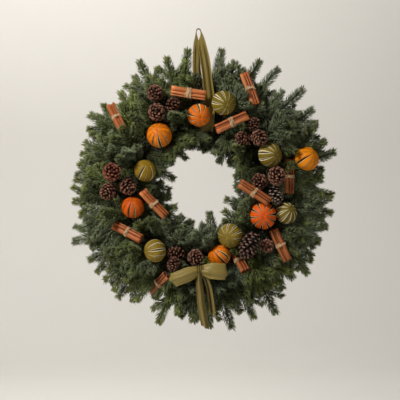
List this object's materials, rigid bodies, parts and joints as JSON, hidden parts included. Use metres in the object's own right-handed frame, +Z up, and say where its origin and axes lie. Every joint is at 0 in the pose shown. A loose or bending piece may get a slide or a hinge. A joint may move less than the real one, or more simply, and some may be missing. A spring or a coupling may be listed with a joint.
{
  "type": "christmas wreath",
  "caption": "Fir wreath on a wire frame with dried oranges, limes, pine cones, cinnamon bundles and a satin bow, hung by a ribbon loop from a nail.",
  "frame": {"origin": "the point where the inside of the ribbon loop bears on the nail that the wreath hangs from", "axes": "+Z up along the pull of the hanging ribbon, +Y back into the door, +X to the right as seen from the front; the wreath's front faces -Y"},
  "size_m": [0.56, 0.1302, 0.6494],
  "materials": {
    "wire": "green lacquered florist's wire",
    "fir": "fresh fir: woody twigs under dense deep green needles with a blue-green bloom and yellow-green tips",
    "orange": "dried whole orange, matt pored rind slit from pole to pole with cream edges",
    "lime": "dried whole lime, matt olive rind slit from pole to pole with cream edges",
    "cone": "dry pine cone scales, brown with paler tips",
    "cinnamon": "rolled bark, warm brown and matt",
    "tie": "beige raffia, fibrous and matt",
    "ribbon": "olive satin"
  },
  "bodies": {
    "root": {"cinnamon_1": "cinnamon", "cinnamon_10": "cinnamon", "cinnamon_10_tie": "tie", "cinnamon_11": "cinnamon", "cinnamon_11_tie": "tie", "cinnamon_1_tie": "tie", "cinnamon_2": "cinnamon", "cinnamon_2_tie": "tie", "cinnamon_3": "cinnamon", "cinnamon_3_tie": "tie", "cinnamon_4": "cinnamon", "cinnamon_4_tie": "tie", "cinnamon_5": "cinnamon", "cinnamon_5_tie": "tie", "cinnamon_6": "cinnamon", "cinnamon_6_tie": "tie", "cinnamon_7": "cinnamon", "cinnamon_7_tie": "tie", "cinnamon_8": "cinnamon", "cinnamon_8_tie": "tie", "cinnamon_9": "cinnamon", "cinnamon_9_tie": "tie", "cone_1": "cone", "cone_10": "cone", "cone_11": "cone", "cone_12": "cone", "cone_13": "cone", "cone_14": "cone", "cone_15": "cone", "cone_16": "cone", "cone_17": "cone", "cone_2": "cone", "cone_3": "cone", "cone_4": "cone", "cone_5": "cone", "cone_6": "cone", "cone_7": "cone", "cone_8": "cone", "cone_9": "cone", "fir_spray_1": "fir", "fir_spray_2": "fir", "fir_spray_3": "fir", "fir_spray_4": "fir", "fir_spray_5": "fir", "fir_spray_6": "fir", "lime_1": "lime", "lime_2": "lime", "lime_3": "lime", "lime_4": "lime", "lime_5": "lime", "lime_6": "lime", "orange_1": "orange", "orange_2": "orange", "orange_3": "orange", "orange_4": "orange", "orange_5": "orange", "orange_6": "orange", "ribbon_bow": "ribbon", "ribbon_hanger": "ribbon", "wire_frame": "wire"}
  },
  "joints": []
}
